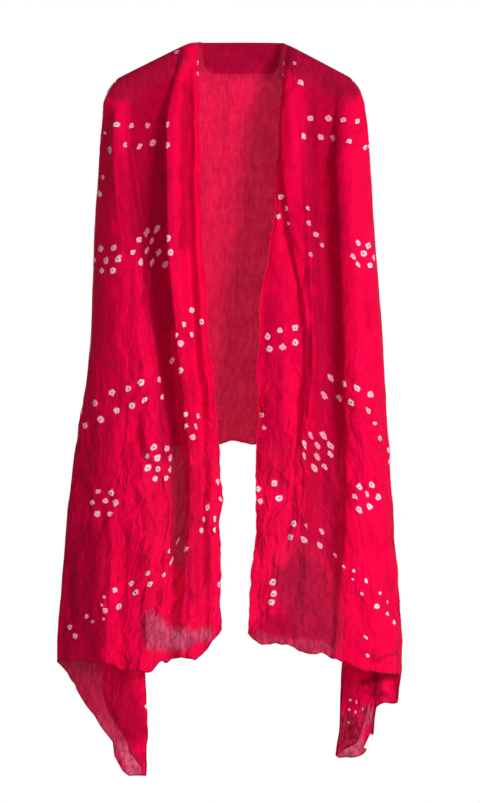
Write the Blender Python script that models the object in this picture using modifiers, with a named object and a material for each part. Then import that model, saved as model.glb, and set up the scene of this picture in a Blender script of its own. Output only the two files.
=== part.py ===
# A bandhani stole hung from its neck fold, with a small label sewn to one tail.
# Metres, +Z up. The origin is the middle of the neck fold, +X is the viewer's right and -Y the front.

from math import cos, pi, sin, sqrt

import bmesh
import bpy
from mathutils import Vector

MM = 0.001

# The cloth
CLOTH_THICKNESS = 0.0015
ROWS_BELOW_ROLL = 20
ROLL_ROWS = (0.0, 0.18, 0.5, 1.0, 1.9)
SHOULDER_ROLL = 14 * MM
NECK_ROLL = 4 * MM
NECK_HALF_WIDTH = 70 * MM
NECK_TURN = 50 * MM
SHOULDER_TURN = 86 * MM
FLAP_HALF_WIDTH = 52.5 * MM
NECK_FLAP_LENGTH = 49 * MM
NECK_COLUMNS = 8
FLAP_LEAN = 0.03
FLAP_ROWS = (0.3, 0.9, 2.2, 5.5, 12.0)
CREST_LEAN = 12 * MM
BACK_HEM = 642 * MM
BACK_SCALLOP = 2.5 * MM
BACK_WAVE = 3 * MM
CRUMPLE = 1.6 * MM

# Heights below the neck fold, in mm, at which the tables give each fold's place
WIDTH_HEIGHTS = (141, 294, 478, 698, 957)
DEPTH_HEIGHTS = (141, 294, 698, 957)

# Each row is one fold of the cloth, from the inner front edge round to the back, in mm.
# The crest and the next five columns are distances out from the middle of the neck, at the shoulder line
# and at the five heights. The next four are distances forward of the neck fold. The hem is how far down
# the cloth ends there, and the last column is how many strips reach the next fold. Three strips leave two
# narrow ones beside the folds, so that the cloth turns round them.
STRIP_STARTS = {1: (0.0,), 2: (0.0, 0.5), 3: (0.0, 0.22, 0.78)}
COLUMNS = (
    "crest", "shoulder", "chest", "waist", "hip", "knee",
    "shoulder_depth", "chest_depth", "hip_depth", "knee_depth", "hem", "strips",
)
LEFT_FOLDS = {
    "inner edge":    (70, 67, 63, 52, 35, 34, 50, 60, 66, 62, 938, 1),
    "strip crest":   (76, 75, 72, 61, 45, 46, 58, 72, 78, 72, 956, 1),
    "groove":        (82, 87, 85, 73, 60, 60, 52, 64, 70, 66, 970, 1),
    "pleat crest":   (90, 108, 107, 94, 74, 80, 64, 84, 88, 80, 981, 1),
    "pleat edge":    (96, 119, 118, 103, 82, 96, 64, 86, 88, 80, 982, 1),
    "pleat tuck":    (102, 115, 112, 99, 86, 102, 49, 60, 64, 70, 982, 1),
    "recess":        (135, 150, 142, 122, 98, 112, 44, 50, 56, 64, 984, 2),
    "ridge foot":    (172, 180, 163, 137, 108, 122, 48, 54, 60, 66, 987, 1),
    "ridge edge":    (186, 187, 168, 142, 112, 128, 58, 76, 80, 76, 988, 1),
    "ridge crest":   (198, 196, 186, 162, 142, 155, 62, 86, 92, 86, 990, 2),
    "side hollow":   (210, 207, 208, 200, 196, 190, 56, 68, 68, 70, 993, 1),
    "side ridge":    (210, 214, 222, 222, 224, 212, 50, 58, 70, 84, 994, 3),
    "outline":       (210, 223, 234, 241, 271, 293, 41, 42, 42, 44, 989, 3),
    "tail edge":     (210, 221, 228, 232, 250, 260, 37, 34, 31, 30, 1031, 1),
    "tail corner":   (210, 215, 215, 211, 215, 222, 33, 28, 23, 23, 1092, 1),
    "tail point":    (210, 209, 203, 190, 180, 181, 30, 23, 17, 18, 1173, 2),
    "tail fold":     (210, 205, 196, 176, 160, 151, 26, 18, 11, 12, 1174, 3),
    "tail lining":   (210, 211, 210, 203, 195, 188, 21, 11, 4, 4, 1118, 1),
    "back rim":      (210, 218, 226, 230, 232, 219, 16, 3, -2, -2, 1010, 3),
    "back groove":   (210, 206, 194, 174, 166, 168, 10, -4, -10, -10, 900, 3),
    "second rim":    (210, 213, 221, 224, 227, 227, 3, -11, -18, -18, 770, 3),
    "back side":     (210, 200, 194, 190, 187, 187, -4, -18, -26, -26, 652, 1),
}
RIGHT_FOLDS = {
    "inner edge":    (70, 60, 49, 26, 25, 9, 48, 57, 62, 60, 948, 1),
    "inner swell":   (72, 61, 58, 54, 48, 36, 50, 61, 73, 70, 962, 1),
    "inner tuck":    (75, 67, 84, 108, 82, 66, 52, 61, 66, 67, 965, 1),
    "pleat fold":    (78, 62, 75, 102, 87, 84, 60, 74, 76, 70, 967, 1),
    "pleat crest":   (85, 82, 92, 109, 94, 98, 70, 87, 84, 74, 971, 1),
    "pleat edge":    (95, 98, 107, 115, 100, 108, 65, 85, 84, 72, 974, 1),
    "pleat tuck":    (101, 95, 103, 111, 104, 114, 49, 60, 66, 67, 975, 1),
    "recess":        (125, 122, 130, 136, 132, 128, 41, 49, 55, 62, 977, 2),
    "step foot":     (150, 147, 150, 156, 160, 143, 44, 54, 60, 64, 982, 1),
    "step edge":     (158, 152, 155, 163, 168, 151, 53, 72, 78, 74, 984, 1),
    "outer swell":   (170, 171, 175, 183, 190, 180, 58, 84, 90, 86, 994, 2),
    "outer groove":  (186, 185, 192, 200, 203, 212, 54, 70, 78, 80, 1002, 1),
    "outer crest":   (186, 191, 199, 210, 216, 228, 50, 66, 74, 74, 1006, 3),
    "outline":       (186, 201, 211, 225, 237, 253, 40, 44, 46, 46, 1010, 2),
    "flap corner":   (186, 198, 205, 214, 229, 257, 36, 35, 35, 33, 1056, 1),
    "flap hem":      (186, 195, 199, 206, 216, 237, 33, 31, 30, 29, 1055, 1),
    "flap end":      (186, 192, 192, 194, 202, 224, 30, 28, 26, 27, 1062, 1),
    "tail edge":     (186, 190, 188, 188, 196, 219, 28, 25, 23, 25, 1104, 1),
    "tail corner":   (186, 188, 184, 182, 188, 208, 26, 23, 20, 23, 1133, 1),
    "tail point":    (186, 186, 180, 174, 175, 180, 24, 20, 16, 18, 1146, 2),
    "tail fold":     (186, 183, 175, 167, 165, 163, 21, 16, 12, 13, 1142, 3),
    "tail lining":   (186, 189, 190, 190, 191, 193, 17, 9, 4, 5, 1120, 1),
    "back rim":      (186, 195, 204, 212, 217, 216, 14, 2, -2, -2, 1010, 3),
    "back groove":   (186, 183, 175, 166, 162, 163, 8, -5, -10, -10, 892, 3),
    "second rim":    (186, 190, 199, 207, 212, 213, 2, -12, -18, -18, 762, 3),
    "back side":     (186, 180, 176, 173, 172, 172, -5, -19, -26, -26, 650, 1),
}

# The two sides: which way they lie, where the shoulder line starts to fall, how steeply, where the shoulder
# tip is, the first fold that hangs from the tip, and how far each tail drifts outwards below the knee height
SIDES = {
    "left": {"sign": -1, "folds": LEFT_FOLDS, "fall_from": 82 * MM, "slope": 0.51, "tip": 10, "drift": 0.0},
    "right": {"sign": 1, "folds": RIGHT_FOLDS, "fall_from": 67 * MM, "slope": 0.54, "tip": 11, "drift": -0.07},
}

# The label, sewn by its long side to the front of the right tail's hem
LABEL_WIDTH = 10 * MM
LABEL_SEAM = 2.2 * MM
LABEL_THICKNESS = 1.0 * MM
LABEL_GAP = 0.35 * MM
LABEL_FOLD = "tail edge"
LABEL_SPAN = (0.1, 0.87)
LABEL_BOW = 1.2 * MM


def smooth(knots, values, at):
    # A curve through the knots with no overshoot between them, level beyond both ends
    last = len(knots) - 1
    if at <= knots[0]:
        return values[0]
    if at >= knots[last]:
        return values[last]
    k = next(n for n in range(last) if at <= knots[n + 1])

    def slope(n):
        return (values[n + 1] - values[n]) / (knots[n + 1] - knots[n])

    def tangent(n):
        if n in (0, last):
            return slope(min(n, last - 1))
        before, after = slope(n - 1), slope(n)
        return 2 * before * after / (before + after) if before * after > 0 else 0.0

    span = knots[k + 1] - knots[k]
    t = (at - knots[k]) / span
    return (
        values[k] * (1 + 2 * t) * (1 - t) ** 2
        + values[k + 1] * t * t * (3 - 2 * t)
        + span * (tangent(k) * t * (1 - t) ** 2 - tangent(k + 1) * t * t * (1 - t))
    )


def fold_values(side, place):
    # The table's values at any place along the folds, 0 at the inner edge
    rows = list(SIDES[side]["folds"].values())
    numbers = range(len(rows))
    return {name: smooth(numbers, [row[n] for row in rows], place) for n, name in enumerate(COLUMNS)}


def soft_step(low, high, at):
    t = min(1.0, max(0.0, (at - low) / (high - low)))
    return t * t * (3 - 2 * t)


def roll_radius(distance):
    return NECK_ROLL + (SHOULDER_ROLL - NECK_ROLL) * soft_step(NECK_TURN, SHOULDER_TURN, distance)


def back_start(distance):
    # Where the back panel starts down, as a distance along Y
    return -NECK_ROLL - CREST_LEAN * soft_step(60 * MM, 210 * MM, distance)


def crest_point(side, distance):
    # The highest line of the cloth: level along the neck, falling along each shoulder
    setup = SIDES[side]
    beyond = distance - setup["fall_from"]
    fall = setup["slope"] * 0.5 * (beyond + sqrt(beyond * beyond + (8 * MM) ** 2))
    fall -= setup["slope"] * 0.5 * (sqrt(setup["fall_from"] ** 2 + (8 * MM) ** 2) - setup["fall_from"])
    forward = (NECK_ROLL + SHOULDER_ROLL) * soft_step(NECK_TURN, SHOULDER_TURN, distance)
    return setup["sign"] * distance, back_start(distance) + NECK_ROLL - forward, -max(0.0, fall)


def roll(drop, radius):
    # How far the cloth has turned outwards over its crest at a drop below it, 0 to 1
    t = min(1.0, drop / radius)
    return sqrt(1 - (1 - t) ** 2)


def crumple(x, z, phase):
    # Slow, uneven waves of the crinkled silk
    down = min(1.0, max(0.0, -z / 0.25))
    wave = sin(71 * x + 23 * z + phase) + 0.7 * sin(113 * x - 41 * z + 2.1 * phase) + 0.5 * sin(31 * z + 57 * x)
    return CRUMPLE * down * wave * 0.5


def hung_column(crest, radius, start, widths, depths, hem, sign, drift, phase):
    # One line of the cloth from its crest down to its hem
    low = hem + crest[2]
    drops = [radius * n for n in ROLL_ROWS]
    step = (low - drops[-1]) / ROWS_BELOW_ROLL
    drops += [drops[-1] + step * (n + 1) for n in range(ROWS_BELOW_ROLL)]
    top = -crest[2] + radius
    width_knots = [top] + [h * MM for h in WIDTH_HEIGHTS if h * MM > top + 0.02]
    depth_knots = [top] + [h * MM for h in DEPTH_HEIGHTS if h * MM > top + 0.02]
    width_values = [start[0]] + [w * MM * sign for w in widths][-(len(width_knots) - 1):]
    depth_values = [start[1]] + [-d * MM for d in depths][-(len(depth_knots) - 1):]
    points = []
    for drop in drops:
        below = drop - crest[2]
        turned = roll(drop, radius)
        x = smooth(width_knots, width_values, below)
        x += sign * drift * max(0.0, below - WIDTH_HEIGHTS[-1] * MM)
        y = smooth(depth_knots, depth_values, below)
        x = crest[0] + turned * (x - crest[0])
        y = crest[1] + turned * (y - crest[1])
        y += crumple(x, -below, phase) * turned
        points.append((x, y, -below))
    return points


def fold_column(side, place):
    # A column of the front or of the folds that hang from the shoulder tip
    setup = SIDES[side]
    v = fold_values(side, place)
    crest = crest_point(side, v["crest"] * MM)
    radius = roll_radius(v["crest"] * MM)
    last = len(setup["folds"]) - 1
    turn = pi * max(0.0, place - setup["tip"]) / (last - setup["tip"])
    start = (crest[0] + setup["sign"] * radius * sin(turn), crest[1] - radius * cos(turn))
    widths = [v[name] for name in COLUMNS[1:6]]
    depths = [v[name] for name in COLUMNS[6:10]]
    phase = 0.35 * place + (2.0 if side == "right" else 0.0)
    return hung_column(
        crest, radius, start, widths, depths, v["hem"] * MM, setup["sign"], setup["drift"], phase
    )


def back_column(side, distance):
    # A column of the back panel, straight below its place on the neck or shoulder line
    setup = SIDES[side]
    end = dict(zip(COLUMNS, list(setup["folds"].values())[-1]))
    crest = crest_point(side, distance)
    radius = roll_radius(distance)
    share = distance / MM / end["crest"]
    widths = [end[name] * share for name in COLUMNS[1:6]]
    middle = (-6, -9, -10, -9)
    wave = BACK_WAVE / MM * sin(52 * crest[0] + 0.6) * (1 - share ** 4)
    depths = [
        m + (end[name] - m) * share ** 3 + wave * n / 3
        for n, (m, name) in enumerate(zip(middle, COLUMNS[6:10]))
    ]
    scallop = BACK_SCALLOP * sin(95 * crest[0]) * (1 - share ** 4)
    hem = BACK_HEM + scallop + (end["hem"] * MM - BACK_HEM) * share ** 3
    start = (crest[0], back_start(distance))
    return hung_column(crest, radius, start, widths, depths, hem, setup["sign"], 0.0, 0.5)


def fold_places(side):
    rows = list(SIDES[side]["folds"].values())
    places = []
    for number, row in enumerate(rows[:-1]):
        places += [number + start for start in STRIP_STARTS[row[-1]]]
    return places + [len(rows) - 1]


def side_columns(side):
    # From the inner front edge round the shoulder tip and back to the neck
    places = fold_places(side)
    columns = [fold_column(side, place) for place in places]
    tip = SIDES[side]["tip"]
    crests = [fold_values(side, place)["crest"] * MM for place in places if place < tip]
    columns += [back_column(side, distance) for distance in reversed(crests)]
    return columns


def neck_distances():
    step = 2 * NECK_HALF_WIDTH / NECK_COLUMNS
    return [-NECK_HALF_WIDTH + step * n for n in range(1, NECK_COLUMNS)]


def flap_column(crest, radius):
    # The neck band that is turned down outside, running out to nothing at both ends
    fade = max(0.0, 1 - (abs(crest[0]) / FLAP_HALF_WIDTH) ** 6)
    points = []
    for row in FLAP_ROWS:
        drop = NECK_FLAP_LENGTH * row / FLAP_ROWS[-1] * fade
        y = crest[1] + radius * roll(drop, radius) + FLAP_LEAN * drop
        points.append((crest[0], y, crest[2] - drop))
    return points


def draped_sheet():
    left = side_columns("left")
    neck = [back_column("left" if x < 0 else "right", abs(x)) for x in neck_distances()]
    right = list(reversed(side_columns("right")))
    columns = left + neck + right

    mesh = bmesh.new()
    grid = [[mesh.verts.new(point) for point in column] for column in columns]
    for first, second in zip(grid, grid[1:]):
        for row in range(len(first) - 1):
            mesh.faces.new((first[row], first[row + 1], second[row + 1], second[row]))

    flaps = []
    for column in neck:
        crest = column[0]
        band = flap_column(crest, roll_radius(abs(crest[0])))
        flaps.append([mesh.verts.new(point) for point in [crest] + band])
    for first, second in zip(flaps, flaps[1:]):
        for row in range(len(first) - 1):
            mesh.faces.new((second[row], second[row + 1], first[row + 1], first[row]))

    bmesh.ops.remove_doubles(mesh, verts=mesh.verts, dist=0.00002)
    bmesh.ops.dissolve_degenerate(mesh, edges=mesh.edges, dist=0.00002)
    bmesh.ops.recalc_face_normals(mesh, faces=mesh.faces)
    data = bpy.data.meshes.new("stole")
    mesh.to_mesh(data)
    mesh.free()
    return data


def label_sheet():
    # A small strip along the tail's slanted hem, standing out past it
    place = list(RIGHT_FOLDS).index(LABEL_FOLD)
    upper = Vector(fold_column("right", place)[-1])
    lower = Vector(fold_column("right", place + 1)[-1])
    along = (lower - upper).normalized()
    outward = Vector((-along.z, 0, along.x)).normalized()
    lift = (CLOTH_THICKNESS + LABEL_THICKNESS) / 2 + LABEL_GAP

    mesh = bmesh.new()
    bmesh.ops.create_grid(mesh, x_segments=4, y_segments=6, size=0.5)
    for vert in mesh.verts:
        share = LABEL_SPAN[0] + (LABEL_SPAN[1] - LABEL_SPAN[0]) * (0.5 - vert.co.y)
        across = vert.co.x + 0.5
        point = upper.lerp(lower, share) + outward * (across * LABEL_WIDTH - LABEL_SEAM)
        point.y -= lift + LABEL_BOW * across * across
        vert.co = point
    bmesh.ops.recalc_face_normals(mesh, faces=mesh.faces)
    data = bpy.data.meshes.new("label")
    mesh.to_mesh(data)
    mesh.free()
    return data


def finish_material(name, colour, roughness):
    material = bpy.data.materials.new(name)
    material.use_nodes = True
    shader = material.node_tree.nodes["Principled BSDF"]
    shader.inputs["Base Color"].default_value = (*colour, 1)
    shader.inputs["Roughness"].default_value = roughness
    shader.inputs["Metallic"].default_value = 0
    return material


def add_sheet(name, data, thickness, colour, roughness, collection):
    piece = bpy.data.objects.new(name, data)
    collection.objects.link(piece)
    data.materials.append(finish_material(name, colour, roughness))
    data.shade_smooth()
    wall = piece.modifiers.new("thickness", "SOLIDIFY")
    wall.thickness = thickness
    wall.offset = 0
    return piece


def main():
    for old in list(bpy.data.objects):
        bpy.data.objects.remove(old)
    collection = bpy.data.collections.new("bandhani_stole")
    bpy.context.scene.collection.children.link(collection)
    add_sheet("stole", draped_sheet(), CLOTH_THICKNESS, (0.60, 0.004, 0.045), 0.6, collection)
    add_sheet("label", label_sheet(), LABEL_THICKNESS, (0.85, 0.85, 0.82), 0.7, collection)


main()
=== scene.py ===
from math import cos, pi, radians, sin, sqrt

import bmesh
import bpy
import numpy as np
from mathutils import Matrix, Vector, noise


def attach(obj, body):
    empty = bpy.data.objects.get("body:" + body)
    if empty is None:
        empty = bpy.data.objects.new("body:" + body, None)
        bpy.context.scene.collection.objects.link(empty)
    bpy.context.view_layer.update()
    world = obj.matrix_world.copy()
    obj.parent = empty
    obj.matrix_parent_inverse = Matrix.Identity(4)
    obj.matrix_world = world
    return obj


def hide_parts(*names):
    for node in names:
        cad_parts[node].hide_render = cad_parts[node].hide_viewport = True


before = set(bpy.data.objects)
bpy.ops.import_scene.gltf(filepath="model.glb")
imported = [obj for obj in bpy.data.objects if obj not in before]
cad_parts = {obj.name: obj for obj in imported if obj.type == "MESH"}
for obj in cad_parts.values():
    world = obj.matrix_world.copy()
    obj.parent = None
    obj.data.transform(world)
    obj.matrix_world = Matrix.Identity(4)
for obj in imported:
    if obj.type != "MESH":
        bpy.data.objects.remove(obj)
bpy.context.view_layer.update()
mm = 0.001

# heights below the neck fold at which the fold tables are read, in mm
widthHeights = np.array((141, 294, 478, 698, 957)) * mm
depthHeights = np.array((141, 294, 698, 957)) * mm

# one row for each fold, from the inner front edge round to the back, in mm: distance out at the crest and at
# the five heights, distance forward at the four depth heights, and how far down the cloth ends there
foldColumns = (
    "crest", "shoulder", "chest", "waist", "hip", "knee",
    "shoulderDepth", "chestDepth", "hipDepth", "kneeDepth", "hem",
)
leftFolds = {
    "innerEdge": (70, 67, 63, 52, 35, 34, 50, 60, 66, 62, 938),
    "stripCrest": (76, 75, 72, 61, 45, 46, 58, 72, 78, 72, 956),
    "groove": (82, 87, 85, 73, 60, 60, 52, 64, 70, 66, 970),
    "pleatCrest": (90, 108, 107, 94, 74, 80, 64, 84, 88, 80, 981),
    "pleatEdge": (96, 119, 118, 103, 82, 96, 64, 86, 88, 80, 982),
    "pleatTuck": (102, 115, 112, 99, 86, 102, 49, 60, 64, 70, 982),
    "recess": (135, 150, 142, 122, 98, 112, 44, 50, 56, 64, 984),
    "ridgeFoot": (172, 180, 163, 137, 108, 122, 48, 54, 60, 66, 987),
    "ridgeEdge": (186, 187, 168, 142, 112, 128, 58, 76, 80, 76, 985),
    "ridgeCrest": (198, 196, 186, 162, 142, 155, 62, 80, 85, 82, 1005),
    "sideHollow": (210, 207, 208, 200, 196, 190, 56, 70, 74, 75, 1000),
    "sideRidge": (210, 214, 222, 222, 224, 212, 50, 58, 70, 84, 986),
    "outline": (210, 223, 234, 241, 271, 293, 41, 42, 42, 44, 989),
    "tailEdge": (210, 221, 228, 232, 250, 260, 37, 34, 31, 30, 1031),
    "tailCorner": (210, 215, 215, 211, 215, 222, 33, 28, 23, 23, 1092),
    "tailPoint": (210, 209, 203, 190, 180, 181, 30, 23, 17, 18, 1173),
    "tailFold": (210, 205, 196, 176, 160, 151, 26, 18, 11, 12, 1174),
    "tailLining": (210, 211, 210, 203, 195, 188, 21, 11, 4, 4, 1118),
    "backRim": (210, 218, 226, 230, 232, 219, 16, 3, -2, -2, 1010),
    "backGroove": (210, 206, 194, 174, 166, 168, 10, -4, -10, -10, 900),
    "secondRim": (210, 213, 221, 224, 227, 227, 3, -11, -18, -18, 770),
    "backSide": (210, 200, 194, 190, 187, 187, -4, -18, -26, -26, 652),
}
rightFolds = {
    "innerEdge": (70, 60, 49, 26, 25, 9, 54, 65, 64, 60, 948),
    "innerSwell": (72, 61, 58, 54, 48, 36, 57, 69, 73, 64, 962),
    "innerTuck": (75, 67, 84, 108, 82, 66, 59, 70, 73, 65, 965),
    "pleatFold": (78, 62, 75, 102, 87, 84, 63, 77, 77, 65, 967),
    "pleatCrest": (85, 82, 92, 109, 94, 98, 69, 83, 81, 66, 971),
    "pleatEdge": (95, 98, 107, 115, 100, 108, 65, 85, 84, 66, 974),
    "pleatTuck": (101, 95, 103, 111, 104, 114, 49, 60, 66, 65, 975),
    "recess": (125, 122, 130, 136, 132, 128, 41, 49, 55, 63, 977),
    "stepFoot": (150, 147, 150, 156, 160, 143, 44, 54, 60, 64, 982),
    "stepEdge": (158, 152, 155, 163, 168, 151, 53, 72, 78, 74, 984),
    "outerSwell": (170, 171, 175, 183, 190, 180, 58, 77, 83, 80, 994),
    "outerGroove": (186, 185, 192, 200, 203, 212, 54, 70, 78, 80, 1002),
    "outerCrest": (186, 191, 199, 210, 216, 228, 50, 66, 74, 74, 1006),
    "outline": (186, 201, 211, 225, 237, 253, 40, 44, 46, 46, 1010),
    "flapCorner": (186, 198, 205, 214, 229, 257, 36, 35, 35, 33, 1056),
    "flapHem": (186, 195, 199, 206, 216, 237, 33, 31, 30, 29, 1055),
    "flapEnd": (186, 192, 192, 194, 202, 224, 30, 28, 26, 27, 1062),
    "tailEdge": (186, 190, 188, 188, 196, 219, 28, 25, 23, 25, 1104),
    "tailCorner": (186, 188, 184, 182, 188, 208, 26, 23, 20, 23, 1133),
    "tailPoint": (186, 186, 180, 174, 175, 180, 24, 20, 16, 18, 1146),
    "tailFold": (186, 183, 175, 167, 165, 163, 21, 16, 12, 13, 1142),
    "tailLining": (186, 189, 190, 190, 191, 193, 17, 9, 4, 5, 1120),
    "backRim": (186, 195, 204, 212, 217, 216, 14, 2, -2, -2, 1010),
    "backGroove": (186, 183, 175, 166, 162, 163, 8, -5, -10, -10, 892),
    "secondRim": (186, 190, 199, 207, 212, 213, 2, -12, -18, -18, 762),
    "backSide": (186, 180, 176, 173, 172, 172, -5, -19, -26, -26, 650),
}
sides = {
    "left": {"sign": -1, "folds": leftFolds, "fallFrom": 82 * mm, "slope": 0.51, "tip": 10, "drift": 0.0},
    "right": {"sign": 1, "folds": rightFolds, "fallFrom": 67 * mm, "slope": 0.54, "tip": 11, "drift": -0.07},
}

# what a user would change about the stole
stole = {
    "flatSize": (0.69, 2.20),
    "columnSpacing": {"shown": 4.0 * mm, "hidden": 10 * mm},
    "backShare": 3,
    "rowsBelowRoll": 205,
    "rollRows": (0.0, 0.03, 0.1, 0.22, 0.4, 0.65, 1.0, 1.5),
    "shoulderRoll": 14 * mm,
    "neckRoll": 4 * mm,
    "neckHalfWidth": 70 * mm,
    "neckTurn": 50 * mm,
    "shoulderTurn": 86 * mm,
    "neckColumns": 24,
    "flapHalfWidth": 64 * mm,
    "flapLength": 49 * mm,
    "flapLean": 0.03,
    "flapRows": (0.3, 0.9, 1.8, 3.0, 5.0, 7.5, 10.0, 12.0),
    "crestLean": 12 * mm,
    "backHem": 642 * mm,
    "backScallop": 2.5 * mm,
    "backWave": 3 * mm,
    "crumple": 1.6 * mm,
    "crinkleHeight": 1.5 * mm,
    "crinkleWidth": 11 * mm,
    "crinkleLength": 70 * mm,
    "facetHeight": 1.3 * mm,
    "facetSize": 42 * mm,
    "seed": 7,
}


def smooth(knots, values, at):
    # a curve through the knots with no overshoot, level beyond both ends
    knots = np.asarray(knots, float)
    values = np.asarray(values, float)
    slopes = np.diff(values) / np.diff(knots)
    tangents = np.zeros(len(knots))
    tangents[0], tangents[-1] = slopes[0], slopes[-1]
    before, after = slopes[:-1], slopes[1:]
    same = before * after > 0
    tangents[1:-1][same] = 2 * before[same] * after[same] / (before[same] + after[same])
    at = np.clip(at, knots[0], knots[-1])
    k = np.clip(np.searchsorted(knots, at, side="left") - 1, 0, len(knots) - 2)
    span = knots[k + 1] - knots[k]
    t = (at - knots[k]) / span
    return (
        values[k] * (1 + 2 * t) * (1 - t) ** 2
        + values[k + 1] * t * t * (3 - 2 * t)
        + span * (tangents[k] * t * (1 - t) ** 2 - tangents[k + 1] * t * t * (1 - t))
    )


def softStep(low, high, at):
    t = np.clip((at - low) / (high - low), 0, 1)
    return t * t * (3 - 2 * t)


def foldValues(side, place):
    rows = np.array(list(sides[side]["folds"].values()), float)
    numbers = np.arange(len(rows))
    return {name: float(smooth(numbers, rows[:, n], place)) for n, name in enumerate(foldColumns)}


def rollRadius(distance):
    grown = softStep(stole["neckTurn"], stole["shoulderTurn"], distance)
    return stole["neckRoll"] + (stole["shoulderRoll"] - stole["neckRoll"]) * grown


def backStart(distance):
    return -stole["neckRoll"] - stole["crestLean"] * softStep(60 * mm, 210 * mm, distance)


def crestPoint(side, distance):
    setup = sides[side]
    soft = 8 * mm
    beyond = distance - setup["fallFrom"]
    fall = setup["slope"] * 0.5 * (beyond + sqrt(beyond * beyond + soft ** 2))
    fall -= setup["slope"] * 0.5 * (sqrt(setup["fallFrom"] ** 2 + soft ** 2) - setup["fallFrom"])
    turned = softStep(stole["neckTurn"], stole["shoulderTurn"], distance)
    forward = (stole["neckRoll"] + stole["shoulderRoll"]) * turned
    return setup["sign"] * distance, backStart(distance) + stole["neckRoll"] - forward, -max(0.0, fall)


def roll(drop, radius):
    t = np.minimum(1.0, drop / radius)
    return np.sqrt(1 - (1 - t) ** 2)


def crumple(x, z, phase):
    down = np.clip(-z / 0.25, 0, 1)
    wave = np.sin(71 * x + 23 * z + phase) + 0.7 * np.sin(113 * x - 41 * z + 2.1 * phase)
    return stole["crumple"] * down * (wave + 0.5 * np.sin(31 * z + 57 * x)) * 0.5


def hungColumn(crest, radius, start, widths, depths, hem, sign, drift, phase):
    drops = radius * np.array(stole["rollRows"])
    rest = np.linspace(drops[-1], hem + crest[2], stole["rowsBelowRoll"] + 1)[1:]
    drops = np.concatenate((drops, rest))
    top = -crest[2] + radius
    widthKept = widthHeights > top + 0.02
    depthKept = depthHeights > top + 0.02
    widthKnots = np.concatenate(([top], widthHeights[widthKept]))
    depthKnots = np.concatenate(([top], depthHeights[depthKept]))
    widthValues = np.concatenate(([start[0]], np.array(widths)[widthKept] * mm * sign))
    depthValues = np.concatenate(([start[1]], -np.array(depths)[depthKept] * mm))
    below = drops - crest[2]
    turned = roll(drops, radius)
    x = smooth(widthKnots, widthValues, below) + sign * drift * np.maximum(0, below - widthHeights[-1])
    y = smooth(depthKnots, depthValues, below)
    x = crest[0] + turned * (x - crest[0])
    y = crest[1] + turned * (y - crest[1]) + crumple(x, -below, phase) * turned
    return np.stack((x, y, -below), axis=1)


def foldColumn(side, place):
    setup = sides[side]
    v = foldValues(side, place)
    crest = crestPoint(side, v["crest"] * mm)
    radius = float(rollRadius(v["crest"] * mm))
    last = len(setup["folds"]) - 1
    turn = pi * max(0.0, place - setup["tip"]) / (last - setup["tip"])
    start = (crest[0] + setup["sign"] * radius * sin(turn), crest[1] - radius * cos(turn))
    widths = [v[name] for name in foldColumns[1:6]]
    depths = [v[name] for name in foldColumns[6:10]]
    phase = 0.35 * place + (2.0 if side == "right" else 0.0)
    return hungColumn(
        crest, radius, start, widths, depths, v["hem"] * mm, setup["sign"], setup["drift"], phase
    )


def backColumn(side, distance):
    setup = sides[side]
    end = dict(zip(foldColumns, list(setup["folds"].values())[-1]))
    crest = crestPoint(side, distance)
    radius = float(rollRadius(distance))
    share = distance / mm / end["crest"]
    widths = [end[name] * share for name in foldColumns[1:6]]
    middle = (-6, -9, -10, -9)
    wave = stole["backWave"] / mm * sin(52 * crest[0] + 0.6) * (1 - share ** 4)
    depths = [
        m + (end[name] - m) * share ** 3 + wave * n / 3
        for n, (m, name) in enumerate(zip(middle, foldColumns[6:10]))
    ]
    scallop = stole["backScallop"] * sin(95 * crest[0]) * (1 - share ** 4)
    hem = stole["backHem"] + scallop + (end["hem"] * mm - stole["backHem"]) * share ** 3
    start = (crest[0], float(backStart(distance)))
    return hungColumn(crest, radius, start, widths, depths, hem, setup["sign"], 0.0, 0.5)


def foldPlaces(side):
    # places along the folds, so close that no strip is wider than the spacing
    rows = np.array(list(sides[side]["folds"].values()), float)
    places = []
    for number in range(len(rows) - 1):
        across = np.abs(rows[number + 1, 1:6] - rows[number, 1:6])
        deep = np.abs(rows[number + 1, 6:10] - rows[number, 6:10])
        size = sqrt(across.max() ** 2 + deep.max() ** 2) * mm
        spacing = stole["columnSpacing"]["shown" if number < sides[side]["tip"] + 3 else "hidden"]
        count = max(2, int(round(size / spacing)))
        places += [number + n / count for n in range(count)]
    return places + [len(rows) - 1]


def sideColumns(side):
    places = foldPlaces(side)
    columns = [foldColumn(side, place) for place in places]
    tip = sides[side]["tip"]
    crests = [foldValues(side, place)["crest"] * mm for place in places if place < tip]
    kept = crests[::stole["backShare"]] + [crests[-1]] * (len(crests) % stole["backShare"] != 1)
    backs = [backColumn(side, distance) for distance in reversed(kept)]
    return places, columns, backs


def flapColumn(crest, radius):
    fade = max(0.0, 1 - (abs(crest[0]) / stole["flapHalfWidth"]) ** 14)
    rows = np.array((0.0,) + stole["flapRows"])
    drop = stole["flapLength"] * rows / rows[-1] * fade
    y = crest[1] + radius * roll(drop, radius) + stole["flapLean"] * drop
    return np.stack((np.full(len(rows), crest[0]), y, crest[2] - drop), axis=1)


def gridNormals(grid):
    across = np.gradient(grid, axis=0)
    down = np.gradient(grid, axis=1)
    normals = np.cross(across, down)
    size = np.linalg.norm(normals, axis=2, keepdims=True)
    return normals / np.maximum(size, 1e-12)


def gridFaces(grid):
    index = np.arange(grid.shape[0] * grid.shape[1]).reshape(grid.shape[:2])
    corners = (index[:-1, :-1], index[:-1, 1:], index[1:, 1:], index[1:, :-1])
    return np.stack(corners, axis=2).reshape(-1, 4)


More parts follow.
